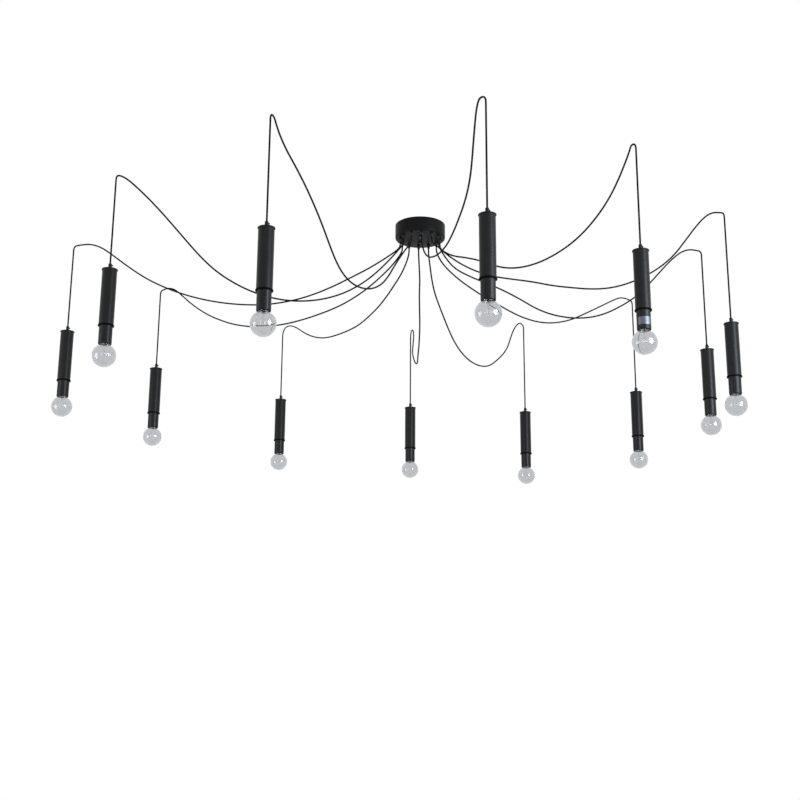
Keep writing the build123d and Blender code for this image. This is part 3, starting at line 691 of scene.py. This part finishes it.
def whole_cord(arm):
    """One cord, whole, from inside its gland down into its pendant's grip."""
    heading, drop, route = ROUTES[arm]
    reach, aside, fold = route[-1]
    tail = [(reach, aside, fold - HOOK_STRAIGHT), (reach, aside, GRIP_H - GRIP_CORD_L - drop)]
    line = line_of([on_arm(arm, point) for point in [(0, 0, CORD_START_Z), *route, *tail]])
    tag = number(arm)
    mesh = solid(f"cord_{tag}", [tube(line, CORD_D / 2)], TEXTILE)
    lay_out(mesh, line)
    cord = shown(f"cord_{tag}", mesh)
    top = on_arm(arm, (reach, aside, TURN_TOP_Z))
    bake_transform(cord)
    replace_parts(cord, f"swag_cord_{tag}", f"drop_cord_{tag}")
    on_arm(arm, (0, 0, -CANOPY_H - GLAND_H))


for arm in range(ARMS):
    whole_cord(arm)


# Canopy and what is on it

def on_canopy(name, mesh_name, parts, material, stands_for):
    """One piece that stays with the canopy, made of closed parts."""
    piece(name, solid(mesh_name, parts, material), "canopy", [stands_for])


def ring_of(part):
    """A part repeated at the twelve glands."""
    return [moved(part, gland_place(arm)) for arm in range(ARMS)]


def threaded(radius, low, high, pitch, depth):
    """Points up the side of a screw thread, for an outline."""
    steps = 2 * round((high - low) / pitch)
    return [(radius - depth * (step % 2), low + (high - low) * step / steps) for step in range(steps + 1)]


def hexagon_nut(width, hole, low, high):
    """A hexagon nut: its outline is turned in six flats."""
    outline = [(hole, low, 0), (width, low, NUT_SOFT), (width, high, NUT_SOFT), (hole, high, 0)]
    return turned(rounded(outline, 2), HEX)


canopy_outline = rounded([
    (0, -CANOPY_H, 0), (CANOPY_R, -CANOPY_H, CANOPY_EDGE_R), (CANOPY_R, 0, SOFT),
    (CANOPY_R - CANOPY_WALL, 0, SOFT), (CANOPY_R - CANOPY_WALL, FLOOR_Z, CANOPY_EDGE_R - CANOPY_WALL),
    (0, FLOOR_Z, 0)], 8)
canopy_parts = [turned(canopy_outline, CANOPY_ROUND)]
on_canopy("canopy_cup", "canopy", canopy_parts, CANOPY_BLACK, "canopy_shell")

bore = CORD_D / 2 + SEAM
collar_low, tip_low = -CANOPY_H - COLLAR_H, -CANOPY_H - GLAND_H
collar = turned(rounded([
    (bore, -CANOPY_H, 0), (GLAND_R, -CANOPY_H, 0), (GLAND_R, collar_low, SOFT), (bore, collar_low, 0)],
    3), HEX)
nose = turned(rounded([
    (bore, collar_low, 0), (NOSE_TOP_R, collar_low, 0), (NOSE_LOW_R, collar_low - NOSE_STRAIGHT, NOSE_SOFT),
    (GLAND_TIP_R, tip_low, GLAND_TIP_SOFT), (bore, tip_low, FINE)], 5), NOSE_ROUND, NOSE_RIBS, RIB_DEPTH)
thread_side = threaded(GLAND_THREAD_R, -CANOPY_H, -CANOPY_H + THREAD_H, *GLAND_THREAD)
gland_thread = turned([(bore, -CANOPY_H), (bore, -CANOPY_H + THREAD_H), *reversed(thread_side)], THREAD_ROUND)
glands = ring_of(collar) + ring_of(nose) + ring_of(gland_thread)
on_canopy("gland_set", "glands", glands, GLAND_BLACK, "cord_glands")

locknut = hexagon_nut(LOCKNUT_R, GLAND_THREAD_R, FLOOR_Z + SEAM, FLOOR_Z + LOCKNUT_H)
on_canopy("locknut_set", "locknuts", ring_of(locknut), GLAND_BLACK, "gland_locknuts")

stud_places = [Vector((0, side * STUD_Y, 0)) for side in (-1, 1)]
stud_low = -CANOPY_H - STUD_BELOW
stud_side = threaded(STUD_R, stud_low, -BRACKET_T / 2, *STUD_THREAD)
stud = turned([(0, stud_low), *stud_side, (0, -BRACKET_T / 2)], SMALL_ROUND)
studs = [moved(stud, place) for place in stud_places]
on_canopy("stud_pair", "studs", studs, FASTENER, "canopy_studs")

stud_nut = hexagon_nut(STUD_NUT_R, STUD_R, -BRACKET_T - STUD_NUT_H, -BRACKET_T - SEAM)
stud_nuts = [moved(stud_nut, place) for place in stud_places]
on_canopy("stud_nut_pair", "stud_nuts_round", stud_nuts, FASTENER, "stud_nuts")

dome_low, dome_high = -CANOPY_H - CAP_NUT_H, -CANOPY_H - CAP_NUT_HEX_H
cap_hex = hexagon_nut(CAP_NUT_R, STUD_R, dome_high, -CANOPY_H - SEAM)
dome_turns = [math.pi / 2 * step / DOME_STEPS for step in range(1, DOME_STEPS + 1)]
dome_side = [(DOME_R * math.sin(turn), dome_high + (dome_low - dome_high) * math.cos(turn))
             for turn in dome_turns]
dome = turned([(0, dome_low), *dome_side, (0, dome_high)], THREAD_ROUND)
cap_nuts = [moved(part, place) for part in (cap_hex, dome) for place in stud_places]
on_canopy("cap_nut_pair", "cap_nuts_round", cap_nuts, NUT_BLACK, "cap_nuts")


def slotted_head(radius, low, high, slot):
    """A screw head seen from its free end, which is at high: a disc with a slot across it."""
    floor = low + (high - low) * 0.5
    half = math.asin(slot / 2 / radius)
    halves = []
    for start in (half, math.pi + half):
        arc = [start + (math.pi - 2 * half) * step / ARC_STEPS for step in range(ARC_STEPS + 1)]
        flat = [(radius * math.cos(angle), radius * math.sin(angle)) for angle in arc]
        halves.append(prism(flat, floor, high))
    return [turned([(0, low), (radius, low), (radius, floor), (0, floor)], HEAD_ROUND), *halves]


earth_parts = slotted_head(EARTH_HEAD_R, -BRACKET_T, -BRACKET_T - EARTH_HEAD_H, EARTH_SLOT)
earth_side = threaded(EARTH_R, -BRACKET_T, -SEAM, *EARTH_THREAD)
earth_parts.append(turned([(0, -BRACKET_T), *earth_side, (0, -SEAM)], SMALL_ROUND))
earth_parts = [moved(part, (0, -EARTH_PLACE, 0), EARTH_TURN) for part in earth_parts]
on_canopy("earth_screw_slotted", "earth_screw_round", earth_parts, BRASS, "earth_screw")


def softened(name, stands_for, width, material):
    """A CAD node's shape with its edges taken off."""
    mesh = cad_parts[stands_for].data.copy()
    edit = bmesh.new()
    edit.from_mesh(mesh)
    bmesh.ops.remove_doubles(edit, verts=edit.verts, dist=0.01 * MM)
    bmesh.ops.dissolve_limit(edit, angle_limit=math.radians(1), verts=edit.verts, edges=edit.edges)
    edges = [edge for edge in edit.edges if edge.calc_face_angle(0) > math.radians(40)]
    bmesh.ops.bevel(edit, geom=edges, offset=width, segments=2, profile=0.5, affect="EDGES",
                    clamp_overlap=True)
    edit.to_mesh(mesh)
    edit.free()
    mesh.polygons.foreach_set("use_smooth", [True] * len(mesh.polygons))
    mesh.set_sharp_from_angle(angle=math.radians(50))
    mesh.materials.clear()
    mesh.materials.append(material)
    piece(name, mesh, "canopy", [stands_for])


softened("bracket_bar", "ceiling_bracket", BRACKET_SOFT, ZINC)
softened("terminal_strip", "terminal_block", SOFT, TERMINAL)

screw_parts = []
for row in (-1, 1):
    for pole in (-1, 0, 1):
        place = Vector((row * BLOCK_ROW / 2, pole * POLE_PITCH, 0))
        head = slotted_head(BLOCK_SCREW_R, SCREW_LOW, SCREW_LOW + BLOCK_SCREW_H, BLOCK_SLOT)
        screw_parts += [moved(part, place, BLOCK_TURN * row + pole) for part in head]
on_canopy("terminal_screw_set", "terminal_screws_slotted", screw_parts, BRASS,
          "terminal_screws")


def lead_route(arm):
    """One lead's points, from its cord's tail over the canopy's floor to the terminal block."""
    x, y, _ = gland_place(arm)
    rank = sum(gland_place(other).y < y for other in range(ARMS) if gland_place(other).x * x > 0)
    side = math.copysign(1, x)
    row = (rank - (ARMS / 2 - 1) / 2) * LEAD_PITCH
    entry = FLOOR_Z + SEAM + BLOCK_H / 2
    return [Vector(point) for point in (
        (x, y, TAIL_TOP_Z - LEAD_START), (x, y, FLOOR_Z + LEAD_RISE), (side * BLOCK_W, row, entry),
        (side * BLOCK_W / 2, row, entry))]


def twisted(line, turns, start):
    """A core's own line, wound round the lead's middle."""
    core = []
    for index, (point, side, up) in enumerate(spun(line)):
        angle = start + math.tau * turns * index / (len(line) - 1)
        core.append(point + (side * math.cos(angle) + up * math.sin(angle)) * CORE_OFF)
    return core


lead_lines = [line_of(lead_route(arm)) for arm in range(ARMS)]
for name, start, material in (("brown", 0, CORE_BROWN), ("blue", math.pi, CORE_BLUE)):
    cores = [tube(twisted(line, LEAD_TURNS, start), CORE_R, CORE_SIDES) for line in lead_lines]
    on_canopy(f"lead_cores_{name}", f"cores_{name}", cores, material, "inner_leads")
tails = [tube([gland_place(arm) + Vector((0, 0, height)) for height in (CORD_START_Z + TAIL_GAP, TAIL_TOP_Z)],
              CORD_D / 2) for arm in range(ARMS)]
on_canopy("cord_tails", "tails", tails, GLAND_BLACK, "inner_leads")


# Pendant: the tube with its cap, the lampholder and the cord grip, all on the middle of the cap's top

inner_r = TUBE_R - TUBE_WALL
tube_outline = rounded([
    (inner_r, -LIP_H, 0), (TUBE_R, -LIP_H, 0), (TUBE_R, -TUBE_L, 0), (inner_r, -TUBE_L, 0)])
# The lip's band of painted shade: a near-black ring over the lip and a little under the tube's end.
lip_shade_outline = rounded([
    (TUBE_R - LAP, EDGE_OVER - TUBE_L, 0), (LIP_R, EDGE_OVER - TUBE_L, EDGE_SOFT[0]),
    (LIP_R, -TUBE_L - EDGE_UNDER, EDGE_SOFT[1]), (HOLDER_R + EDGE_GAP, -TUBE_L - EDGE_UNDER, SOFT),
    (inner_r, -TUBE_L, FINE), (TUBE_R - LAP, -TUBE_L, 0)])
cap_outline = rounded([
    (0, 0, 0), (LIP_R, 0, LIP_SOFT[0]), (LIP_R, -LIP_H, LIP_SOFT[1]), (TUBE_R - LAP, -LIP_H, 0),
    (inner_r, -LIP_H, 0), (inner_r, -2 * LIP_H, 0), (0, -2 * LIP_H, 0)])
tube_parts = [turned(outline, FINE_ROUND) for outline in (tube_outline, cap_outline)]
tube_mesh = solid("tube_and_cap", tube_parts, PENDANT_BLACK)
lip_shade_mesh = solid("lip_shade_band", [turned(lip_shade_outline, FINE_ROUND)], LIP_SHADE_BLACK)

mouth_z = -TUBE_L - HOLDER_OUT
socket_z = mouth_z + MOUTH_H
holder_outline = rounded([
    (0, HOLDER_IN - TUBE_L, 0), (inner_r, HOLDER_IN - TUBE_L, 0), (inner_r, HOLDER_IN - LIP_H - TUBE_L, SOFT),
    (HOLDER_R, HOLDER_IN - LIP_H - TUBE_L, SOFT), (HOLDER_R, mouth_z, HOLDER_SOFT), (MOUTH_R, mouth_z, SOFT),
    (MOUTH_R, socket_z, MOUTH_SOFT), (SOCKET_R, socket_z, SOCKET_SOFT), (SOCKET_R, socket_z + SOCKET_H, 0),
    (0, socket_z + SOCKET_H, 0)])
holder_mesh = solid("lampholder", [turned(holder_outline, FINE_ROUND)], HOLDER_BLACK)

grip_outline = rounded([
    (bore, GRIP_H - GRIP_CORD_L, 0), (bore, GRIP_H, FINE), (GRIP_R - GRIP_CHAMFER, GRIP_H, SOFT),
    (GRIP_R, GRIP_H - GRIP_CHAMFER_H, GRIP_CHAMFER_SOFT),
    *[(GRIP_R - depth, height, soft) for depth, height, soft in GRIP_GROOVE],
    (GRIP_R, 0, 0), (0, 0, 0), (0, GRIP_H - GRIP_CORD_L, 0)], 3)
out = Matrix.Rotation(GRIP_SCREW_TURN, 4, "Z")
lean = out @ Matrix.Rotation(math.pi / 2, 4, "Y")
screw_place = out @ Vector((0, 0, GRIP_SCREW_UP))
screw_start = GRIP_R - GRIP_NECK_IN
neck_r, neck_end = GRIP_SCREW_R - GRIP_NECK_IN, screw_start + GRIP_NECK_L + SEAM
grip_screw = slotted_head(GRIP_SCREW_R, screw_start + GRIP_NECK_L, GRIP_R + GRIP_SCREW_L, GRIP_SLOT)
neck = [(0, screw_start), (neck_r, screw_start), (neck_r, neck_end), (0, neck_end)]
grip_screw.append(turned(neck, SMALL_ROUND))
grip_screw = [moved(part, screw_place, GRIP_SLOT_TURN, lean) for part in grip_screw]
grip_mesh = solid("cord_grip", [turned(grip_outline, GRIP_ROUND), *grip_screw], HOLDER_BLACK)


def foil_patch():
    """A blank foil patch, wrapped part way round the lampholder."""
    turns = [FOIL_TURN - FOIL_HALF + 2 * FOIL_HALF * step / FOIL_STEPS for step in range(FOIL_STEPS + 1)]
    flat = []
    for radius, way in ((HOLDER_R + FOIL_PROUD, turns), (HOLDER_R - LAP, reversed(turns))):
        flat += [(radius * math.cos(turn), radius * math.sin(turn)) for turn in way]
    return solid("foil", [prism(flat, -TUBE_L - FOIL_TOP - FOIL_H, -TUBE_L - FOIL_TOP)], FOIL)


# Bulb: a blown globe with its neck, the stem and filament in it, and a screw cap, on the same origin

globe_z = -TUBE_L - GLOBE_DROP
neck_z = socket_z + NECK_GAP
cap_top = socket_z + CAP_H
stem_low = globe_z + STEM_OVER


def blown_outline():
    """The glass's outer outline, from the globe's pole up its shoulder to the top of the neck."""
    last = math.acos(SHOULDER_R / GLOBE_R)
    turns = [-math.pi / 2 + (last + math.pi / 2) * step / GLOBE_STEPS for step in range(GLOBE_STEPS + 1)]
    outline = [(GLOBE_R * math.cos(turn), globe_z + GLOBE_R * math.sin(turn)) for turn in turns]
    outline[0] = (0, outline[0][1])
    (start_r, start_z), top_r, top_z = outline[-1], CAP_R - GLASS_T, neck_z + NECK_TAPER
    pull = (top_z - start_z) * SHOULDER_PULL
    for step in range(1, SHOULDER_STEPS + 1):
        share = step / SHOULDER_STEPS
        first, leave = (1 - share) ** 2 * (1 + 2 * share), (1 - share) ** 2 * share
        second, arrive = share ** 2 * (3 - 2 * share), share ** 2 * (share - 1)
        outline.append((first * start_r - leave * pull * math.sin(last) + second * top_r,
                        first * start_z + leave * pull * math.cos(last) + second * top_z + arrive * pull))
    return outline + [(top_r, neck_z + CAP_LAP)]


def inside(outline, wall):
    """An outline moved in by a wall, from its top back to the pole."""
    moved_in = []
    for index, (radius, height) in enumerate(outline):
        before, after = outline[max(index - 1, 0)], outline[min(index + 1, len(outline) - 1)]
        along = (Vector(after) - Vector(before)).normalized()
        moved_in.append((max(radius - wall * along.y, 0), height + wall * along.x))
    moved_in[0] = (0, outline[0][1] + wall)
    return moved_in[::-1]


def lifted(rows, level):
    """Rows of (radius, height) in mm, or with a rounding too, as metres over a level."""
    return [(radius * MM, level + height * MM, *(size * MM for size in soft))
            for radius, height, *soft in rows]


outer = blown_outline()
globe = turned(outer + inside(outer, GLASS_T), FINE_ROUND)
globe_mesh = solid("globe", [globe], GLASS, sharp=math.radians(60))

stem_side = lifted(STEM_FLARE, neck_z) + lifted(STEM_TIP, stem_low)
stem_outline = rounded([(0, stem_side[0][1], 0), *stem_side, (0, stem_side[-1][1], 0)])
stem_mesh = solid("stem", [turned(stem_outline, THREAD_ROUND)], STEM_GLASS)


def filament_parts():
    """The mount in the globe: two lead wires, five supports and a coiled wire draped over them."""
    parts = []
    turns = [FIL_START + (math.tau - 2 * FIL_GAP) * step / FIL_STRETCHES for step in range(FIL_STRETCHES + 1)]
    ring = [Vector((FIL_R * math.cos(turn), FIL_R * math.sin(turn), stem_low + FIL_RISE)) for turn in turns]
    for end in (ring[0], ring[-1]):
        press = Vector((0, 0, stem_low + LEG_START[1])) + end.to_2d().to_3d().normalized() * LEG_START[0]
        bend = Vector((end.x * LEG_BEND[0], end.y * LEG_BEND[0], stem_low + LEG_BEND[1]))
        parts.append(tube(line_of([press, bend, end]), LEG_R, HEX))
    for hook in ring[1:-1]:
        button = Vector((0, 0, stem_low + HOOK_START))
        bend = Vector((hook.x * HOOK_BEND[0], hook.y * HOOK_BEND[0], stem_low + HOOK_BEND[1]))
        parts.append(tube(line_of([button, bend, hook]), HOOK_R, HEX))
    for before, after in zip(ring, ring[1:]):
        sag = (before + after) / 2 - Vector((0, 0, FIL_SAG))
        wire = []
        for index, (point, side, up) in enumerate(spun(line_of([before, sag, after]))):
            angle = index * COIL_TURN
            wire.append(point + (side * math.cos(angle) + up * math.sin(angle)) * COIL_R)
        parts.append(tube(wire, WIRE_R, HEX))
    return parts


filament_mesh = solid("filament", filament_parts(), TUNGSTEN)

thread_low, thread_high = neck_z + CAP_THREAD_ENDS[0], cap_top - CAP_THREAD_ENDS[1]
cap_thread = []
for step in range(CAP_THREAD_STEPS + 1):
    share = step / CAP_THREAD_STEPS
    wave = 0.5 - 0.5 * math.cos(share * CAP_THREAD_WAVES * math.tau)
    cap_thread.append((CAP_R - CAP_THREAD_D * wave, thread_low + (thread_high - thread_low) * share))
skirt = [point for point in outer if mouth_z - SKIRT_DOWN < point[1] < neck_z + SOFT]
shell_outline = [
    *[(radius + SEAM, height) for radius, height in reversed(skirt)],
    *[(radius + SKIRT_T, height) for radius, height in skirt], (CAP_R - SOFT, thread_low - CAP_RUN_OUT),
    *cap_thread, (CAP_R - CAP_TOP_IN, cap_top), (CAP_R - CAP_BORE_IN, cap_top),
    (CAP_R - CAP_BORE_IN, thread_high - CAP_RUN_OUT), (CAP_R - CAP_STEP_IN, thread_high - CAP_STEP_H),
    (CAP_R - CAP_THREAD_D, neck_z + CAP_LAP)]
shell_mesh = solid("screw_cap", [turned(shell_outline)], NICKEL)
insulator_mesh = solid("cap_end", [turned(lifted(CAP_END, cap_top), CAP_END_ROUND)], INSULATOR)
contact_mesh = solid("cap_contact", [turned(lifted(CAP_CONTACT, cap_top), THREAD_ROUND)], FASTENER)

# Each arm's pieces: name, mesh, body, slot and the node that it stands for
ARM_PIECES = [
    ("tube", tube_mesh, "hanging", "pendant_black", "pendant"),
    # the lip's band of painted shade
    ("lip_shade_band", lip_shade_mesh, "hanging", "gland_black", "pendant"),
    ("lampholder", holder_mesh, "hanging", "pendant_black", "pendant"),
    ("cord_grip", grip_mesh, "hanging", "pendant_black", "pendant"),
    ("foil", foil_patch(), "hanging", "fastener_steel", None),
    ("globe", globe_mesh, "lamp", "bulb_glass", "globe_bulb"),
    ("stem", stem_mesh, "lamp", "bulb_glass", "globe_bulb"),
    ("filament", filament_mesh, "lamp", "fastener_steel", None),
    ("screw_cap", shell_mesh, "lamp", "fastener_steel", "globe_bulb"),
    ("cap_end", insulator_mesh, "lamp", "gland_black", None),
    ("cap_contact", contact_mesh, "lamp", "fastener_steel", None),
]
for arm in range(ARMS):
    tag = number(arm)
    for name, mesh, body, slot, replaced in ARM_PIECES:
        if name == "foil" and arm not in FOIL_ARMS:
            continue
        nodes = [f"{replaced}_{tag}"] if replaced else ()
        thing = piece(f"{name}_{tag}", mesh, f"{body}_{tag}", nodes, pendant_place(arm))
        if slot == "bulb_glass":
            thing.visible_shadow = False    # clear glass takes no light from what is in it


# Stage: a plain pale floor far below, two soft lights and an even world

def background_share(tree, share):
    """The share for rays that see the background straight, in a gloss or through glass, and 0 for others."""
    path = node(tree, "ShaderNodeLightPath")
    seen = sums(tree, "MAXIMUM", path.outputs["Is Camera Ray"], path.outputs["Is Glossy Ray"])
    seen = sums(tree, "MAXIMUM", seen, path.outputs["Is Transmission Ray"])
    return sums(tree, "MULTIPLY", seen, share)


world = bpy.data.worlds.new("studio")
bpy.context.scene.world = world
world.use_nodes = True
background = world.node_tree.nodes["Background"]
background.inputs["Color"].default_value = (1, 1, 1, 1)
lit = background_share(world.node_tree, 1 - WORLD_LEVEL)
world.node_tree.links.new(sums(world.node_tree, "ADD", lit, WORLD_LEVEL), background.inputs["Strength"])

floor_material, floor_tree, floor_main = shader("pale_floor", (0.8, 0.8, 0.8), roughness=0.9,
                                                Specular_IOR_Level=0.0)
glow = node(floor_tree, "ShaderNodeEmission")
seen_share = background_share(floor_tree, FLOOR_GLOW)
both = node(floor_tree, "ShaderNodeMixShader", seen_share, floor_main.outputs[0], glow.outputs[0])
floor_tree.links.new(both.outputs[0], floor_tree.nodes["Material Output"].inputs["Surface"])
floor_mesh = bpy.data.meshes.new("floor")
floor_corners = [(x * FLOOR_HALF, y * FLOOR_HALF, FLOOR_LEVEL)
                 for x, y in ((-1, -1), (1, -1), (1, 1), (-1, 1))]
floor_mesh.from_pydata(floor_corners, [], [[0, 1, 2, 3]])
floor_mesh.materials.append(floor_material)
shown("floor", floor_mesh)

for name, place, size, power, colour in SOFTBOXES:
    lamp = bpy.data.lights.new(name, "AREA")
    lamp.shape = "ELLIPSE"
    lamp.size, lamp.size_y = size
    lamp.energy = power
    lamp.color = colour
    light = shown(name, lamp)
    light.location = place
    light.rotation_euler = (LIGHT_AIM - Vector(place)).to_track_quat("-Z", "Y").to_euler()
    # A globe in front of a lamp that shows would be lost in white.
    light.visible_camera = light.visible_transmission = False

lens = bpy.data.cameras.new("camera")
lens.sensor_width = SENSOR_WIDTH
lens.lens = CAMERA_LENS
camera = shown("camera", lens)
camera.location = CAMERA_PLACE
camera.rotation_mode = "ZYX"
camera.rotation_euler = (math.radians(90 + CAMERA_PITCH), 0, math.radians(CAMERA_ROLL))
bpy.context.scene.camera = camera
bpy.context.scene.view_settings.view_transform = "Standard"
